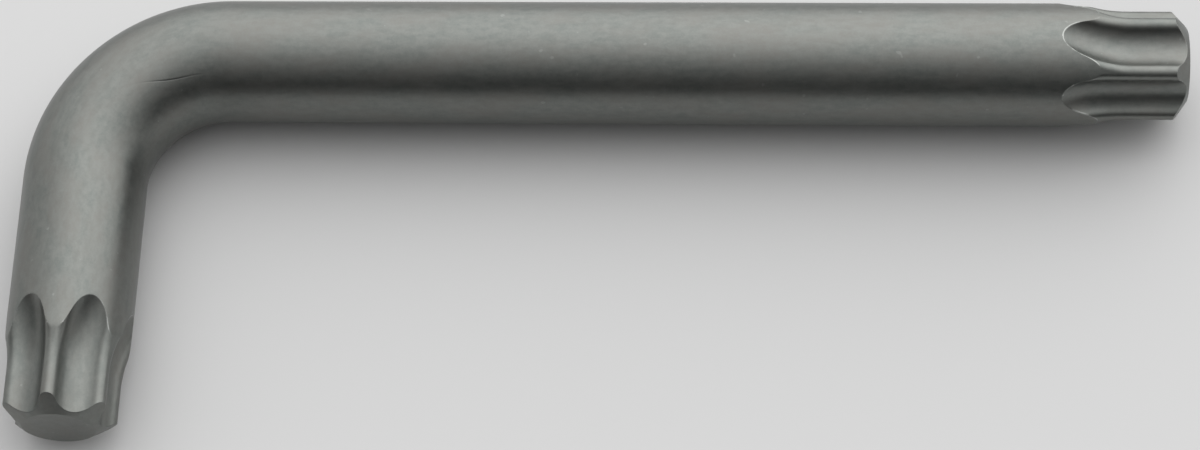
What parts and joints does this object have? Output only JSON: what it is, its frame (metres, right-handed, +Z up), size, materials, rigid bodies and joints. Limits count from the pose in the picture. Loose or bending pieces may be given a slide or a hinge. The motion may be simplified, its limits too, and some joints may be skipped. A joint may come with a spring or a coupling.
{
  "type": "star key",
  "caption": "L-shaped star key: a round steel bar with a short and a long arm, each ending in a chamfered six-lobe star that drives star-socket screws.",
  "frame": {"origin": "under the middle of the key's outline, on the surface that it lies on", "axes": "+X along the long arm towards its star tip, -Y along the short arm towards its star tip, +Z up"},
  "size_m": [0.113, 0.045, 0.012],
  "materials": {
    "steel": "dark grey burnished satin, bright along the worn edges of the flutes and chamfers"
  },
  "bodies": {
    "root": {"long_arm": "steel", "bend": "steel", "short_arm": "steel", "long_star_tip": "steel", "short_star_tip": "steel"}
  },
  "joints": []
}
